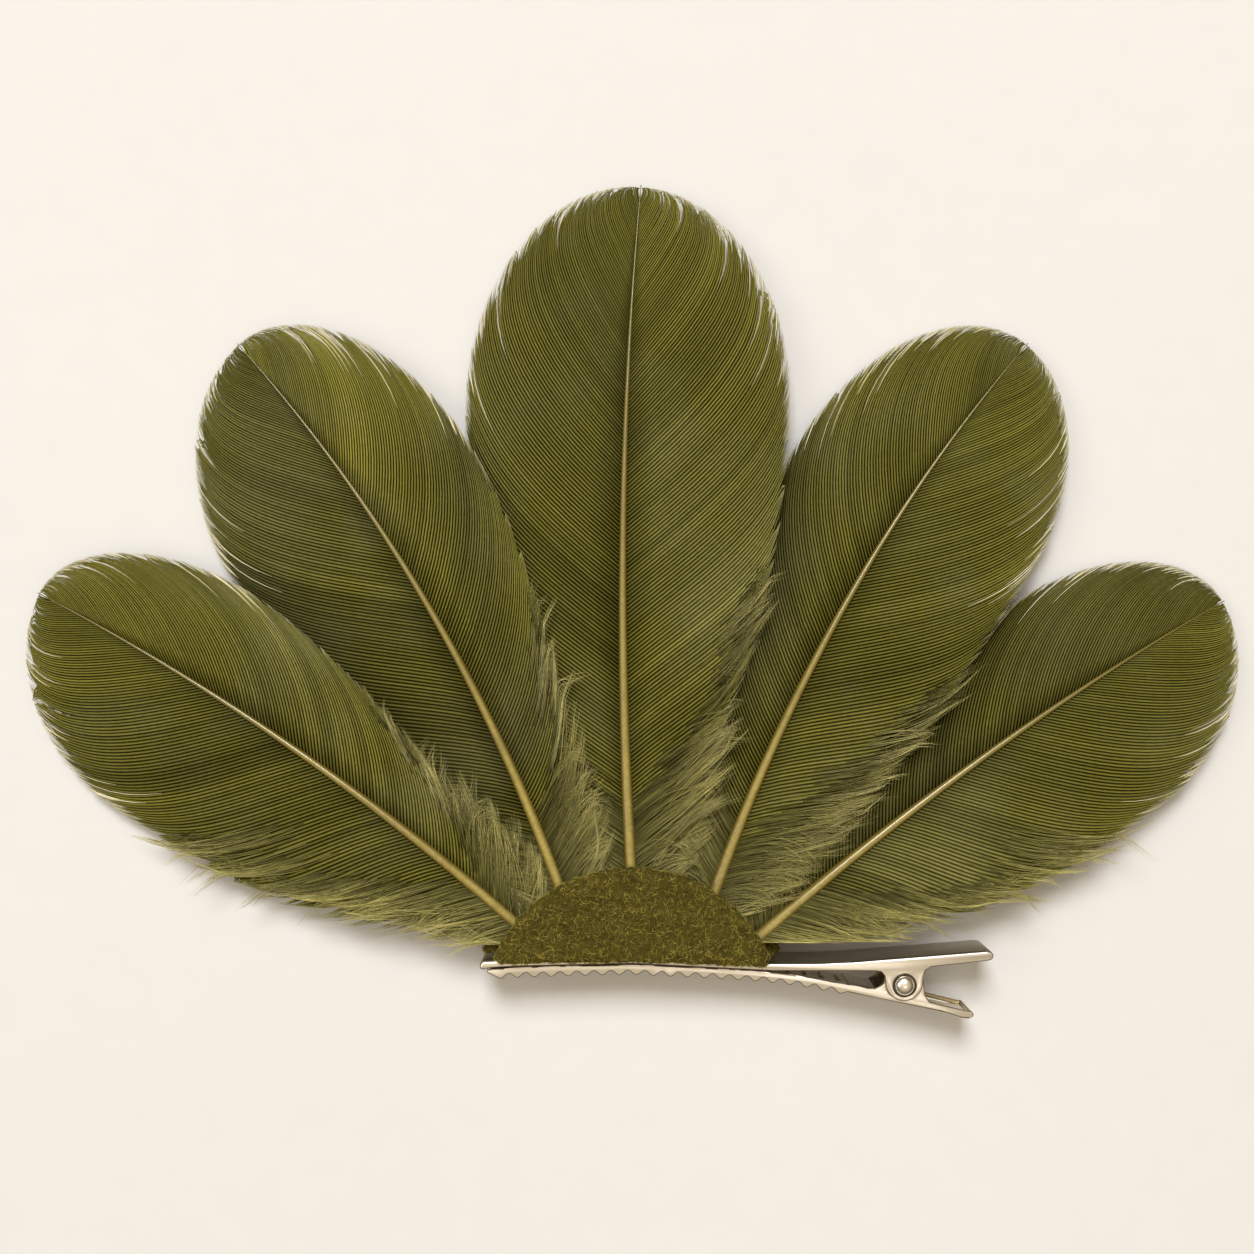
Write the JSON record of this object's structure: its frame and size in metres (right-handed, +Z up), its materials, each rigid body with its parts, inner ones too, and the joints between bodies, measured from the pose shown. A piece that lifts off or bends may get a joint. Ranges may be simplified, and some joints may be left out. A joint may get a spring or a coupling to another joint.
{
  "type": "feather hair clip",
  "caption": "Fan of dyed goose feathers glued between two felts on the jaw of a sprung, toothed steel alligator clip; laid on its back.",
  "frame": {"origin": "on the pivot's axis, at the flat back of the rivet, in the plane that the clip lies on", "axes": "+X along the clip from the jaw's tip to the handles, +Y from the clip towards the feather tips, +Z up, towards the side that shows when worn"},
  "size_m": [0.1821, 0.1234, 0.0124],
  "materials": {
    "nickel_plated_steel": "satin nickel plate on sheet steel, brighter along worn edges",
    "rivet_steel": "smooth nickel-plated rivet",
    "spring_steel": "drawn spring wire",
    "olive_felt": "matted wool felt with a short fibrous nap",
    "olive_feather": "dyed goose feather: satin barbs, downy foot, tan quill"
  },
  "bodies": {
    "clip_with_feathers": {"upper_lever": "nickel_plated_steel", "pivot_rivet": "rivet_steel", "torsion_spring": "spring_steel", "felt_cover": "olive_felt", "felt_backing": "olive_felt", "feather_outer_left": "olive_feather", "feather_inner_left": "olive_feather", "feather_centre": "olive_feather", "feather_inner_right": "olive_feather", "feather_outer_right": "olive_feather"},
    "sprung_lever": {"lower_lever": "nickel_plated_steel"}
  },
  "joints": [
    {"name": "jaw_hinge", "type": "hinge", "parent": "clip_with_feathers", "child": "sprung_lever", "pos_m": [0, 0, 0.005], "axis": [0, 0, 1], "range_deg": [0, 25], "stiffness_Nm_per_rad": 0.03, "springref_deg": -57.3, "deforming": ["torsion_spring"]}
  ]
}
